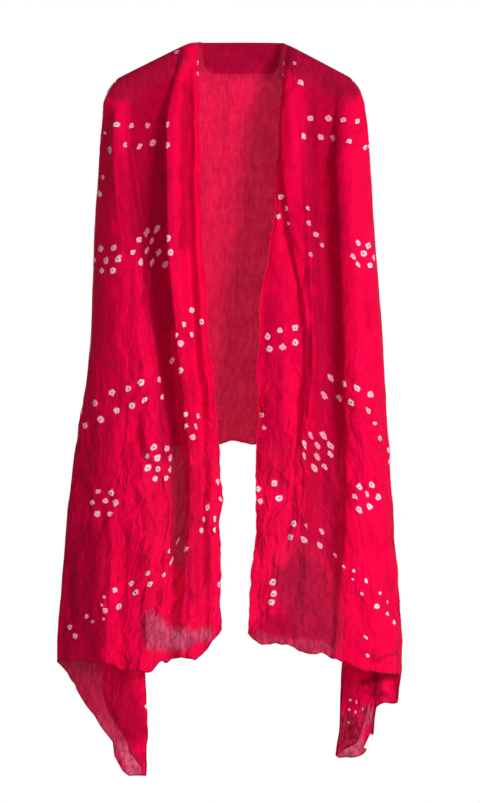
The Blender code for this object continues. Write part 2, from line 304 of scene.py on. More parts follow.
def arcLengths(grid):
    # how far each point lies along the cloth, across and down
    across = np.zeros(grid.shape[:2])
    across[1:] = np.cumsum(np.linalg.norm(np.diff(grid, axis=0), axis=2), axis=0)
    down = np.zeros(grid.shape[:2])
    down[:, 1:] = np.cumsum(np.linalg.norm(np.diff(grid, axis=1), axis=2), axis=1)
    return across, down


def crinkleHeight(u, v):
    # the fine length-ways crinkle of the silk, and the broader facets that it was wrung into
    seed = stole["seed"] * 1.37
    fine = noise.noise(Vector((u / stole["crinkleWidth"], v / stole["crinkleLength"], seed)))
    finer = noise.noise(
        Vector((2.3 * u / stole["crinkleWidth"], 1.6 * v / stole["crinkleLength"], seed + 9))
    )
    ridged = 1 - 2 * abs(fine)
    size = stole["facetSize"]
    broad = noise.noise(Vector((u / size, 0.45 * v / size, seed + 20)))
    slant = noise.noise(Vector(((u + 0.35 * v) / size, (v - 0.35 * u) / (2.2 * size), seed + 31)))
    facet = 0.6 - abs(broad) * 2 + 0.5 - abs(slant) * 1.6
    return stole["crinkleHeight"] * (0.55 * ridged + 0.45 * finer) + stole["facetHeight"] * facet


# how far the hems stray, in long and short waves, and how far up the cloth that reaches; where the tails
# hang steeply; how the shoulder tips are rounded; and how much the creases stand out
edges = {
    "stray": 8 * mm,
    "long": 34 * mm,
    "short": 9 * mm,
    "reach": 45 * mm,
    "steepBelow": (-0.99, -1.03),
    "steepShare": {"left": 1.0, "right": 0.3},
    "tipPull": 14 * mm,
    "tipAcross": (-16 * mm, 14 * mm),
    "tipDown": (-104 * mm, -66 * mm),
    "creaseLift": 1.4,
}

# the main creases, placed on the hung cloth: the x and z of the first point, the middle and the last
# in mm, the half width, and the height, which is positive for a ridge and negative for a trough
creases = {
    "pleatTopEdge": (-90, -8, -96, -40, -104, -84, 5, 2.6),
    "pleatGrooveTop": (-84, -28, -80, -138, -82, -200, 5, -2.4),
    "pleatGrooveLow": (-82, -210, -78, -380, -72, -560, 6, -1.6),
    "pleatStreak": (-98, -150, -100, -300, -92, -450, 5, 1.4),
    "ridgeRim": (-192, -128, -154, -376, -124, -616, 4, 2.2),
    "ridgeRimTrough": (-182, -128, -144, -376, -114, -616, 5, -2.6),
    "ridgeSharp": (-199, -107, -202, -186, -193, -298, 5, 3.2),
    "ridgeShoulder": (-182, -170, -170, -250, -158, -340, 7, 2.0),
    "ridgeFork": (-186, -330, -176, -400, -190, -470, 6, -2.0),
    "ridgeForkInner": (-160, -330, -154, -380, -166, -430, 4, -1.8),
    "ridgeSlantUpper": (-194, -475, -182, -498, -173, -512, 5, -2.6),
    "ridgeSlantLower": (-159, -490, -156, -520, -153, -541, 5, 2.4),
    "ridgeDeep": (-164, -578, -163, -640, -141, -682, 5, -4.2),
    "ridgeDeepSide": (-152, -590, -150, -640, -134, -690, 6, 2.8),
    "hipSlant": (-193, -714, -165, -738, -154, -798, 7, -3.4),
    "hipSlantRidge": (-186, -700, -156, -722, -142, -770, 7, 3.0),
    "hipInner": (-132, -770, -141, -818, -145, -860, 6, 3.4),
    "hipInnerTrough": (-118, -723, -132, -789, -134, -850, 6, -3.0),
    "sideFold": (-216, -762, -204, -818, -211, -880, 7, 3.6),
    "sideFoldTrough": (-226, -740, -216, -818, -224, -900, 7, -3.0),
    "sideLong": (-272, -837, -274, -880, -268, -930, 6, -2.6),
    "sideEdge": (-254, -800, -262, -860, -262, -930, 7, 2.2),
    "lowStarLeft": (-142, -864, -132, -890, -128, -910, 5, -3.2),
    "lowStarRight": (-122, -872, -96, -876, -76, -884, 5, -2.8),
    "lowStarDown": (-152, -892, -120, -915, -90, -918, 5, 2.8),
    "lowStarSlant": (-110, -850, -106, -890, -98, -930, 5, 2.4),
    "innerLowFold": (-70, -800, -62, -850, -66, -900, 6, -2.6),
    "innerLowRidge": (-84, -790, -78, -850, -74, -910, 5, 2.2),
    "innerEdgeFold": (-52, -640, -48, -720, -54, -800, 5, 2.0),
    "innerKnee": (-56, -520, -60, -570, -70, -620, 6, -2.2),
    "hemRoll": (-216, -976, -196, -990, -178, -1004, 5, -3.0),
    "hemLift": (-206, -960, -180, -976, -156, -984, 6, 2.6),
    "tailFoldLong": (-216, -1005, -207, -1085, -174, -1126, 6, 3.2),
    "tailCross": (-204, -1050, -180, -1066, -160, -1080, 5, -2.6),
    "tailCrossLow": (-196, -1084, -176, -1104, -160, -1128, 5, -2.4),
    "tailTip": (-186, -1112, -166, -1130, -158, -1152, 4, 2.4),
    "tailSheerOne": (-262, -1010, -238, -1040, -226, -1080, 4, -2.0),
    "tailSheerTwo": (-246, -1050, -226, -1090, -206, -1120, 4, 2.0),
    "tailSheerThree": (-280, -1000, -264, -1030, -246, -1066, 4, 1.8),
    "stripStreakTop": (70, -40, 76, -110, 84, -180, 5, 2.2),
    "stripStreak": (81, -92, 94, -202, 100, -298, 5, -2.4),
    "stripStreakInner": (66, -190, 74, -260, 86, -320, 5, 2.0),
    "stripEdgeTop": (98, -30, 102, -110, 104, -200, 4, 2.4),
    "stripRim": (97, -84, 106, -300, 115, -500, 4, 2.2),
    "stripRimTrough": (105, -84, 114, -300, 123, -500, 4, -3.0),
    "stripTwist": (94, -322, 101, -360, 93, -392, 4, -3.2),
    "stripTwistRidge": (74, -298, 93, -328, 104, -360, 5, 3.0),
    "stripTwistLow": (96, -396, 102, -430, 104, -458, 4, 2.8),
    "innerSlant": (34, -330, 52, -380, 60, -430, 7, -1.8),
    "swellCrease": (60, -500, 66, -560, 54, -620, 6, 2.2),
    "swellCreaseLow": (84, -520, 92, -590, 88, -650, 6, -2.4),
    "stripEdgeLow": (112, -462, 114, -532, 106, -626, 4, 3.2),
    "stripEdgeHip": (106, -630, 105, -670, 92, -716, 5, -3.0),
    "recessDiagonal": (126, -260, 148, -202, 168, -170, 9, 2.0),
    "outerStreak": (186, -260, 192, -376, 198, -478, 5, -2.4),
    "outerStreakRight": (204, -300, 212, -420, 222, -540, 5, 2.2),
    "outerStreakLow": (196, -460, 206, -578, 212, -640, 5, 2.4),
    "outerLong": (210, -780, 224, -860, 243, -920, 6, -3.2),
    "outerLongSide": (224, -740, 236, -820, 250, -900, 5, 2.4),
    "outerFan": (196, -800, 212, -880, 226, -950, 5, 2.4),
    "flapBend": (196, -975, 216, -990, 244, -986, 6, -3.2),
    "flapBendRidge": (184, -960, 214, -972, 248, -964, 6, 3.0),
    "flapFoldOne": (195, -1030, 222, -1018, 248, -1012, 5, -6.0),
    "flapFoldTwo": (198, -1040, 212, -1044, 226, -1042, 5, 5.0),
    "flapFoldThree": (206, -1014, 226, -1006, 246, -1002, 5, 4.6),
    "hemDiagonalOne": (18, -898, 50, -930, 84, -956, 5, -2.6),
    "hemDiagonalTwo": (24, -872, 66, -914, 110, -950, 5, 2.4),
    "hemDiagonalThree": (44, -852, 84, -892, 132, -930, 6, -2.4),
    "hemDiagonalFour": (70, -838, 104, -872, 138, -900, 6, 2.0),
    "cornerFold": (8, -930, 28, -946, 60, -958, 5, 2.4),
    "lowGather": (22, -800, 30, -850, 20, -900, 5, -2.4),
    "rightTailCross": (160, -1030, 182, -1044, 200, -1050, 5, -2.6),
    "rightTailLong": (164, -1010, 160, -1070, 158, -1120, 4, 2.2),
    "rightTailCurl": (158, -1118, 178, -1128, 198, -1112, 5, 3.0),
}


backCreases = {
    "neckFold": (-66, -7, -10, -14, 50, -40, 6, 2.4),
    "neckUnder": (-60, -30, -20, -44, 30, -48, 5, -2.2),
    "neckLevel": (-66, -66, -10, -70, 64, -62, 6, 2.2),
    "levelUpper": (-66, -96, -20, -92, 30, -101, 4, -2.0),
    "levelMiddle": (-40, -112, 0, -104, 50, -110, 4, 1.8),
    "levelLower": (-66, -117, -48, -124, -31, -121, 4, 2.0),
    "middleUpper": (-14, -60, -20, -150, -16, -250, 4, -2.0),
    "middleLow": (-16, -240, -22, -380, -18, -520, 4, -1.8),
    "middleFoot": (-20, -500, -16, -560, -22, -620, 4, 1.8),
    "leftUpper": (-50, -160, -44, -230, -48, -300, 4, 1.6),
    "rightUpper": (20, -140, 26, -220, 18, -300, 4, 1.6),
    "leftLow": (-40, -420, -46, -500, -38, -590, 4, -1.6),
    "slantLow": (-60, -560, -30, -572, 0, -600, 5, 1.8),
}


def nearLine(x, z, x1, z1, x2, z2):
    # each place's share along a line given in mm, and its distance from it
    dx, dz = (x2 - x1) * mm, (z2 - z1) * mm
    t = np.clip(((x - x1 * mm) * dx + (z - z1 * mm) * dz) / (dx * dx + dz * dz), 0, 1)
    return t, np.hypot(x - x1 * mm - t * dx, z - z1 * mm - t * dz)


def creaseHeights(table, x, z):
    # the creases' height over the cloth at each place
    height = np.zeros(x.shape)
    pieces = 8
    for *points, width, rise in table.values():
        first, middle, last = points[0:2], points[2:4], points[4:6]
        bend = [
            tuple((1 - t) ** 2 * a + 2 * t * (1 - t) * (2 * m - (a + b) / 2) + t * t * b
                  for a, m, b in zip(first, middle, last))
            for t in np.linspace(0, 1, pieces + 1)
        ]
        best = np.full(x.shape, 1e9)
        along = np.zeros(x.shape)
        for n, (start, end) in enumerate(zip(bend, bend[1:])):
            t, gap = nearLine(x, z, *start, *end)
            closer = gap < best
            best[closer] = gap[closer]
            along[closer] = (n + t[closer]) / pieces
        taper = np.clip(4 * along * (1 - along), 0, 1) ** 0.5
        height += edges["creaseLift"] * rise * mm * taper * np.exp(-np.abs(best / (width * mm)) ** 1.4)
    return height


# where the cloth hangs single, see-through and with painted shade (thin), and painted shade where it lies
# back
# between doubled folds (deep): runs in mm from one end to the other, with a radius and an amount
# painted shade: where one layer hangs alone it is more see-through, and also darker and greyer, standing for
# what lies in shade behind it
sheerShadeRuns = (
    (-262, -1004, -232, -1046, 27, 0.1), (-232, -1046, -220, -1091, 15, 0.12),
    (-220, -1091, -186, -1138, 15, 0.3), (-184, -1140, -170, -1165, 13, 1.0),
    (-146, -918, -142, -960, 11, 0.5), (-140, -936, -128, -950, 20, 0.75),
    (-132, -948, -92, -952, 15, 0.75), (-100, -953, -56, -946, 11, 0.7),
    (-104, -650, -98, -830, 10, 0.08), (94, -838, 128, -940, 42, 0.06), (30, -952, 130, -972, 12, 0.3),
    (168, -1098, 172, -1130, 21, 1.0), (198, -1070, 200, -1085, 9, 0.8), (-120, -30, -185, -68, 30, 0.2),
    (80, -28, 160, -72, 26, 0.2),
)
# painted shade: these places are darkened in colour, at the shoulders, in the recesses beside the pleats, on
# the side turned from the light, under the hems and in the flap's folds
paintedShadeRuns = (
    (-118, -22, -188, -66, 28, 0.7), (-190, -70, -132, -66, 24, 0.65), (78, -22, 168, -68, 26, 0.7),
    (160, -72, 120, -60, 22, 0.6), (-150, -90, -146, -300, 32, 0.72), (-146, -300, -128, -445, 22, 0.7),
    (-128, -445, -112, -660, 15, 0.6), (-88, -70, -92, -330, 7, 0.5), (-214, -120, -222, -330, 14, 0.35),
    (-232, -330, -236, -620, 36, 0.4), (-236, -620, -248, -800, 38, 0.55),
    (-252, -800, -256, -985, 38, 0.75), (-92, -460, -84, -640, 14, 0.2), (-76, -690, -72, -880, 13, 0.3),
    (130, -100, 134, -330, 30, 0.55), (136, -330, 138, -640, 26, 0.55), (130, -640, 126, -850, 28, 0.6),
    (50, -420, 54, -700, 16, 0.35), (122, -780, 122, -860, 30, 0.6), (98, -862, 112, -935, 44, 0.8),
    (44, -935, 110, -960, 22, 0.7), (-188, -190, -180, -330, 9, 0.35), (-104, -640, -98, -830, 11, 0.6),
    (-262, -1004, -220, -1080, 26, 0.9), (-220, -1080, -192, -1130, 18, 0.7),
    (-192, -1030, -176, -1100, 22, 0.7), (160, -1020, 172, -1060, 18, 0.5),
    (170, -1002, 240, -1018, 5, 0.4), (190, -1027, 218, -1022, 5, 0.9), (214, -1022, 244, -1010, 5, 0.8),
    (206, -1042, 232, -1046, 5, 0.7), (206, -986, 246, -976, 4, 0.4), (112, -84, 118, -300, 9, 0.7),
    (118, -300, 126, -500, 8, 0.65),
)

# where the cloth hangs smooth among the crumpled parts (calm)
calmRuns = (
    (182, -760, 196, -985, 44, 0.55), (-70, -120, -76, -520, 34, 0.5), (70, -120, 60, -480, 34, 0.5),
    (200, -200, 214, -480, 40, 0.4), (-236, -120, -250, -560, 34, 0.4),
)


def runAmounts(runs, x, z, stray=0.0):
    # how far each place lies in the runs, from 0 to 1, with soft edges that stray
    amount = np.zeros(x.shape)
    if stray:
        size = 22 * mm
        offsets = np.array([noise.noise_vector(Vector((a / size, 3.7, b / size))) for a, b in zip(x, z)])
        x = x + stray * offsets[:, 0]
        z = z + stray * offsets[:, 2]
    for *line, radius, most in runs:
        gap = nearLine(x, z, *line)[1]
        amount = np.maximum(amount, most * softStep(1.3 * radius * mm, 0.7 * radius * mm, gap))
    return amount


def buildSheet():
    leftPlaces, leftFront, leftBack = sideColumns("left")
    rightPlaces, rightFront, rightBack = sideColumns("right")
    step = 2 * stole["neckHalfWidth"] / stole["neckColumns"]
    neckX = [-stole["neckHalfWidth"] + step * n for n in range(1, stole["neckColumns"])]
    neck = [backColumn("left" if x < 0 else "right", abs(x)) for x in neckX]
    blocks = [leftFront, leftBack, neck, rightBack[::-1], rightFront[::-1]]
    grid = np.array([column for block in blocks for column in block])
    starts = np.cumsum([0] + [len(block) for block in blocks])
    across, down = arcLengths(grid)
    across[starts[1]:] -= across[starts[1] + (starts[4] - starts[1]) // 2][None, :]
    across[starts[4]:] -= across[-1][None, :]
    return grid, across, down, starts, leftPlaces, rightPlaces


def edgeWobble(place, phase):
    # how far the hem strays from its line, in metres
    long = [noise.noise(Vector((p / edges["long"], phase, 0.5))) for p in place]
    short = [noise.noise(Vector((p / edges["short"], phase, 4.5))) for p in place]
    return edges["stray"] * (np.array(long) + 0.45 * np.array(short))


def strayEdges(grid, across, down, isFold):
    # lets the hems below and at the inner edges run unevenly
    moved = grid.copy()
    toEnd = down[:, -1:] - down
    hem = grid[:, -1]
    nearHem = softStep(edges["reach"], 0, toEnd)
    low = edgeWobble(hem[:, 0], 1.5)[:, None] * nearHem
    # the tails hang steeply, so their hems also stray sideways
    steep = edgeWobble(hem[:, 2], 3.5) * softStep(*edges["steepBelow"], hem[:, 2]) * isFold
    steep *= np.where(hem[:, 0] < 0, edges["steepShare"]["left"], edges["steepShare"]["right"])
    moved[:, :, 0] += steep[:, None] * nearHem
    moved[:, :, 2] += np.where(isFold[:, None], low, 0.5 * low)
    number = np.arange(len(grid))
    fade = np.clip(down / 0.05, 0, 1)
    halves = ((0, 7.5, number < len(grid) / 2), (-1, 9.5, number > len(grid) / 2))
    for first, phase, half in halves:
        side = edgeWobble(down[first], phase)[None, :] * softStep(0.6 * edges["reach"], 0, np.abs(across))
        moved[isFold & half, :, 0] += 0.5 * (side * fade)[isFold & half]
    # the shoulder tips are rounder than the solid's
    crestEnd = np.where(moved[:, :, 0] < 0, leftFolds["outline"][0], rightFolds["outline"][0]) * mm
    beyond = np.abs(moved[:, :, 0]) - crestEnd
    tip = softStep(*edges["tipAcross"], beyond) * softStep(*edges["tipDown"], moved[:, :, 2])
    moved[:, :, 0] -= np.sign(moved[:, :, 0]) * edges["tipPull"] * tip
    return moved


def roughen(grid, across, down, isFold):
    # moves each point along the cloth's normal by the creases and the crinkle, which fade at the crest
    normals = gridNormals(grid)
    fade = np.clip(down / 0.03, 0, 1)
    height = np.zeros(grid.shape[:2])
    for i in range(grid.shape[0]):
        for j in range(1, grid.shape[1]):
            height[i, j] = crinkleHeight(across[i, j], down[i, j])
    # the ends are more crumpled than the top
    height *= 0.4 + 1.0 * softStep(0.3, 0.75, down)
    for part, table in ((isFold, creases), (~isFold, backCreases)):
        height[part] += creaseHeights(table, grid[part][:, :, 0], grid[part][:, :, 2])
    return strayEdges(grid + normals * (height * fade)[..., None], across, down, isFold)


# the dots, charted in mm on the hung cloth: rows run from one end to the other with a rise between
# them, clusters are staggered rows around a middle, and marks stand alone
dotChart = {
    "rows": (
        # first x, first z, last x, last z, bow, how many
        (-198, -136, -122, -136, 3, 4),
        (-208, -173, -121, -167, 4, 5),
        (-254, -592, -132, -541, 9, 6),
        (-246, -612, -128, -566, 3, 6),
        (111, -123, 185, -133, 5, 4),
        (102, -152, 194, -170, 5, 5),
        (142, -539, 204, -567, 4, 4),
        (133, -563, 197, -592, 5, 4),
        (41, -470, 84, -456, 0, 3),
        (46, -491, 87, -480, 0, 3),
        (82, -768, 129, -784, 0, 3),
        (78, -790, 126, -802, 2, 3),
        (28, -712, 52, -710, 0, 2),
        (31, -734, 58, -728, 0, 2),
    ),
    "clusters": (
        # middle x, middle z, dots in each staggered row
        (-214, -349, (2, 3, 2)),
        (-142, -328, (2, 3, 4, 3)),
        (-110, -520, (1, 1)),
        (-78, -614, (2, 2, 1)),
        (-130, -672, (2, 3, 3, 2)),
        (-218, -736, (2, 3, 2)),
        (-52, -762, (1, 2, 2)),
        (194, -342, (2, 3, 2)),
        (122, -653, (2, 3, 3, 2)),
        (198, -725, (2, 3, 2)),
        (50, -877, (1, 1, 1)),
    ),
    "marks": (
        # x, z and size of the dots that the creases have scattered
        (-105, -16, 0.8), (-217, -149, 0.6), (-220, -218, 0.6), (-226, -245, 1.0), (-38, -701, 1.0),
        (-36, -730, 0.8), (-36, -866, 1.0), (-153, -1061, 0.8), (57, -32, 0.8), (63, -54, 0.8),
        (84, -36, 0.6), (94, -69, 1.0), (31, -597, 0.8), (36, -619, 0.8), (210, -612, 0.7),
        (218, -635, 0.9), (233, -652, 0.8), (235, -672, 1.0),
        (-78, -432, 0.9), (-65, -448, 0.9), (-90, -454, 0.9), (-78, -467, 0.8), (-106, -470, 0.7),
        (-97, -485, 1.0), (113, -271, 0.8), (113, -292, 0.8), (121, -309, 0.9), (126, -327, 0.7),
        (111, -341, 0.7), (62, -252, 0.9), (71, -269, 0.8), (56, -281, 0.8), (75, -294, 0.6),
        (-92, -812, 1.0), (-115, -812, 0.8), (-102, -795, 0.7), (-111, -830, 0.8), (-124, -851, 0.7),
        (-147, -845, 0.8), (-145, -865, 0.9), (-176, -863, 0.8), (-170, -880, 0.9), (-202, -876, 0.9),
        (-194, -899, 1.0), (-217, -885, 0.5), (-221, -897, 0.5), (-217, -908, 0.8), (-219, -919, 0.5),
        (-246, -915, 0.7), (-236, -927, 0.6), (-272, -935, 0.8), (-265, -949, 0.9),
        (150, -820, 0.6), (163, -838, 0.5), (179, -844, 0.6), (175, -858, 0.4), (196, -861, 0.6),
        (192, -880, 0.6), (216, -899, 0.9), (222, -879, 0.6), (234, -896, 0.5), (233, -913, 0.7),
        (242, -926, 0.7), (197, -951, 0.5), (200, -977, 0.5),
        (173, -1054, 0.5), (184, -1054, 0.5), (167, -1070, 0.5), (179, -1073, 0.5), (192, -1065, 0.6),
        (169, -1088, 0.5), (185, -1086, 0.6),
    ),
    "pitch": (19, 17),
    "size": 10.2 * mm,
    "pucker": {"height": 1.3 * mm, "reach": 5 * mm},
    "hiddenHeights": (-150, -350, -560, -730, -900),
}


def chartedDots():
    # the dots' places across and below, in metres, and their sizes, each a little off its rule
    random = np.random.default_rng(stole["seed"])
    spots = []
    for x1, z1, x2, z2, bow, count in dotChart["rows"]:
        for n in range(count):
            t = n / (count - 1)
            spots.append((x1 + (x2 - x1) * t, z1 + (z2 - z1) * t + bow * sin(pi * t)))
    for x, z, rows in dotChart["clusters"]:
        for r, count in enumerate(rows):
            for n in range(count):
                across = (n - (count - 1) / 2) * dotChart["pitch"][0] + (3 if r % 2 else -3) * (count == 1)
                spots.append((x + across, z - (r - (len(rows) - 1) / 2) * dotChart["pitch"][1]))
    spots = np.array(spots) + random.normal(0, 1.6, (len(spots), 2))
    sizes = random.uniform(0.82, 1.15, len(spots))
    marks = np.array(dotChart["marks"])
    return np.concatenate((spots, marks[:, :2])) * mm, np.concatenate((sizes, marks[:, 2]))


def findDots(grid, across, down, starts):
    # each dot's place on the flat cloth, from the foremost cloth at its place on the hung one
    front = np.zeros(grid.shape[:2], bool)
    front[:starts[1]] = True
    front[starts[4]:] = True
    points = grid[front]
    flat = np.stack((across[front], down[front]), axis=1)
    found = []
    spots, sizes = chartedDots()
    for x, z in spots:
        near = np.hypot(points[:, 0] - x, points[:, 2] - z)
        score = near + 0.25 * (points[:, 1] - points[:, 1].min()) + (near > 0.008) * 0.05
        found.append(flat[np.argmin(score)])
    return np.array(found), sizes


def hiddenDots(grid, across, down, places, side):
    # dots on the folds behind, in rows that carry on from those in front
    setup = sides[side]
    names = list(setup["folds"])
    first, last = names.index("outline") + 0.6, names.index("backGroove")
    found = []
    random = np.random.default_rng(stole["seed"] + setup["sign"])
    for z in dotChart["hiddenHeights"]:
        for shift in (0, 1):
            target = z * mm - shift * dotChart["pitch"][1] * mm
            lastAcross = None
            for n, place in enumerate(places):
                if not first < place < last:
                    continue
                column = n if side == "left" else grid.shape[0] - 1 - n
                row = int(np.argmin(np.abs(grid[column, :, 2] - target)))
                if abs(grid[column, row, 2] - target) > 0.004:
                    continue
                here = abs(across[column, row])
                if lastAcross is not None and here - lastAcross < 21 * mm:
                    continue
                lastAcross = here
                off = random.normal(0, 1.5 * mm, 2)
                found.append((across[column, row] + off[0], down[column, row] + off[1]))
    return found


def makeStoleMesh():
    grid, across, down, starts, leftPlaces, rightPlaces = buildSheet()
    plain = grid
    isFold = np.zeros(grid.shape[0], bool)
    isFold[:starts[1]] = True
    isFold[starts[4]:] = True
    grid = roughen(grid, across, down, isFold)
    dots, sizes = findDots(plain, across, down, starts)
    dots = list(dots)
    dots += hiddenDots(plain, across, down, leftPlaces, "left")
    dots += hiddenDots(plain, across, down, rightPlaces, "right")
    dots = np.array(dots)
    sizes = np.concatenate((sizes, np.full(len(dots) - len(sizes), 0.9)))
    print("dots placed:", len(dots))

    normals = gridNormals(plain)
    nearest = np.full(grid.shape[:2], -1)
    best = np.full(grid.shape[:2], 1e9)
    for n, (u, v) in enumerate(dots):
        gap = np.hypot(across - u, down - v)
        closer = (gap < best) & isFold[:, None]
        best[closer] = gap[closer]
        nearest[closer] = n
    pucker = dotChart["pucker"]["height"] * np.exp(-((best / dotChart["pucker"]["reach"]) ** 2))
    grid = grid + normals * (pucker * np.clip(down / 0.03, 0, 1))[..., None]

    faces = gridFaces(grid)
    verts = grid.reshape(-1, 3)
    flat = np.stack((across, down), axis=2).reshape(-1, 2)
    faceNearest = nearest[:-1, :-1].reshape(-1)
    faceMiddle = (flat[faces[:, 0]] + flat[faces[:, 2]]) / 2

    # the band folded over at the neck, whose flat place lies 3 m off the sheet's
    crests = [grid[i, 0] for i in range(starts[2], starts[3])]
    bands = np.array([flapColumn(p, float(rollRadius(abs(p[0])))) for p in crests])
    bandAcross, bandDown = arcLengths(bands)
    bandFade = np.clip(bandDown / 0.03, 0, 1)
    bandNormals = gridNormals(bands)
    for i in range(bands.shape[0]):
        for j in range(1, bands.shape[1]):
            lift = 0.6 * crinkleHeight(bandAcross[i, j] + 3.0, bandDown[i, j])
            bands[i, j] += bandNormals[i, j] * lift * bandFade[i, j]
    bandFaces = gridFaces(bands)[:, ::-1] + len(verts)
    verts = np.concatenate((verts, bands.reshape(-1, 3)))
    flat = np.concatenate((flat, np.stack((bandAcross + 3.0, bandDown), axis=2).reshape(-1, 2)))
    faces = np.concatenate((faces, bandFaces))
    faceNearest = np.concatenate((faceNearest, np.full(len(bandFaces), -1)))
    faceMiddle = np.concatenate((faceMiddle, np.zeros((len(bandFaces), 2))))

    mesh = bpy.data.meshes.new("stoleCloth")
    mesh.from_pydata([tuple(v) for v in verts], [], [tuple(int(i) for i in f) for f in faces])
    uv = mesh.uv_layers.new(name="flat")
    loopVerts = np.zeros(len(mesh.loops), int)
    mesh.loops.foreach_get("vertex_index", loopVerts)
    uv.data.foreach_set("uv", flat[loopVerts].astype(np.float32).reshape(-1))
    centre = np.full((len(faces), 3), -50.0)
    near = faceNearest >= 0
    centre[near, :2] = dots[faceNearest[near]]
    centre[near, 2] = sizes[faceNearest[near]]
    far = near & (np.hypot(*(faceMiddle - centre[:, :2]).T) > 0.03)
    centre[far, :2] = -50.0
    # thin (see-through, with painted shade), deep (painted shade and a smoother bump) and calm (a smoother
    # bump), kept on each point
    sheerShadeCalmValues = np.zeros((len(verts), 3))
    onFolds = np.zeros(len(verts), bool)
    onFolds[:across.size] = np.repeat(isFold, across.shape[1])
    x, z = verts[:, 0], verts[:, 2]
    sheerShadeCalmValues[:, 0] = np.where(onFolds, runAmounts(sheerShadeRuns, x, z, 7 * mm), 0.1)
    # painted shade: a darker band across the top of the back panel, below the neck
    band = 0.75 * softStep(0.066, 0.04, -z - 0.12 * x)
    sheerShadeCalmValues[:, 1] = np.where(onFolds, runAmounts(paintedShadeRuns, x, z, 6 * mm), band)
    sheerShadeCalmValues[:, 2] = np.where(onFolds, runAmounts(calmRuns, x, z), 0.3)
    sheerShadeCalm = mesh.attributes.new("sheerShadeCalm", "FLOAT_VECTOR", "POINT")
    sheerShadeCalm.data.foreach_set("vector", sheerShadeCalmValues.astype(np.float32).reshape(-1))
    dot = mesh.attributes.new("dot", "FLOAT_VECTOR", "FACE")
    dot.data.foreach_set("vector", centre.astype(np.float32).reshape(-1))
    mesh.shade_smooth()

    work = bmesh.new()
    work.from_mesh(mesh)
    bmesh.ops.remove_doubles(work, verts=work.verts, dist=0.00002)
    bmesh.ops.dissolve_degenerate(work, edges=work.edges, dist=0.00002)
    bmesh.ops.recalc_face_normals(work, faces=work.faces)
    work.to_mesh(mesh)
    work.free()

    edge = list(grid[0][1:]) + list(grid[1:-1, -1]) + list(grid[-1][:0:-1])
    edge += [band[-1] for band in bands[::-1]]
    return mesh, edge


# materials
def linear(hexColour):
    # an sRGB hex colour as linear RGBA
    parts = [int(hexColour[n:n + 2], 16) / 255 for n in (1, 3, 5)]
    return tuple(p / 12.92 if p <= 0.04045 else ((p + 0.055) / 1.055) ** 2.4 for p in parts) + (1.0,)


def addNode(tree, kind, settings=None, inputs=None):
    # adds a node with its settings, and its inputs as values or links
    node = tree.nodes.new(kind)
    for name, value in (settings or {}).items():
        setattr(node, name, value)
    for name, value in (inputs or {}).items():
        if isinstance(value, bpy.types.NodeSocket):
            tree.links.new(value, node.inputs[name])
        else:
            node.inputs[name].default_value = value
    return node


def mixColour(tree, factor, first, second):
    # a colour mix, whose colour sockets are the seventh and eighth
    inputs = {0: factor, 6: first, 7: second}
    return addNode(tree, "ShaderNodeMix", {"data_type": "RGBA"}, inputs).outputs[2]


def mathNode(tree, operation, first, second=0.0, third=0.0):
    inputs = {0: first, 1: second, 2: third}
    return addNode(tree, "ShaderNodeMath", {"operation": operation}, inputs).outputs[0]


def times(tree, first, second):
    return mathNode(tree, "MULTIPLY", first, second)


def plus(tree, first, second):
    return mathNode(tree, "ADD", first, second)


def timesPlus(tree, first, second, third):
    return mathNode(tree, "MULTIPLY_ADD", first, second, third)


def vectorNode(tree, operation, first, second):
    inputs = {0: first, 1: second}
    return addNode(tree, "ShaderNodeVectorMath", {"operation": operation}, inputs).outputs[0]


def scaleNode(tree, vector, scale):
    inputs = {0: vector, "Scale": scale}
    return addNode(tree, "ShaderNodeVectorMath", {"operation": "SCALE"}, inputs).outputs[0]


def splitNode(tree, vector):
    return addNode(tree, "ShaderNodeSeparateXYZ", None, {0: vector}).outputs


def noiseNode(tree, place, size, detail=2.0):
    # a noise with patches of the given size, as "Fac" and "Color"
    inputs = {"Vector": place, "Scale": 1 / size, "Detail": detail}
    return addNode(tree, "ShaderNodeTexNoise", None, inputs).outputs


def driftNode(tree, place, size, reach):
    # an offset in any direction, of up to about half the reach
    centred = vectorNode(tree, "SUBTRACT", noiseNode(tree, place, size)["Color"], (0.5, 0.5, 0.5))
    return scaleNode(tree, centred, reach)


def rampNode(tree, factor, *stops):
    # a colour ramp through stops of position, colour and opacity
    ramp = addNode(tree, "ShaderNodeValToRGB", None, {"Fac": factor})
    elements = ramp.color_ramp.elements
    while len(elements) < len(stops):
        elements.new(0.5)
    for element, (position, colour, *opacity) in zip(elements, stops):
        element.position = position
        element.color = linear(colour)[:3] + tuple(opacity or [1.0])
    return ramp.outputs


def bumpNode(tree, height, strength, distance):
    inputs = {"Height": height, "Strength": strength, "Distance": distance}
    return addNode(tree, "ShaderNodeBump", None, inputs).outputs[0]


def newMaterial(name):
    material = bpy.data.materials.new(name)
    material.use_nodes = True
    material.node_tree.nodes.clear()
    return material, material.node_tree


def coverWith(material, shader):
    addNode(material.node_tree, "ShaderNodeOutputMaterial", None, {"Surface": shader})
    return material


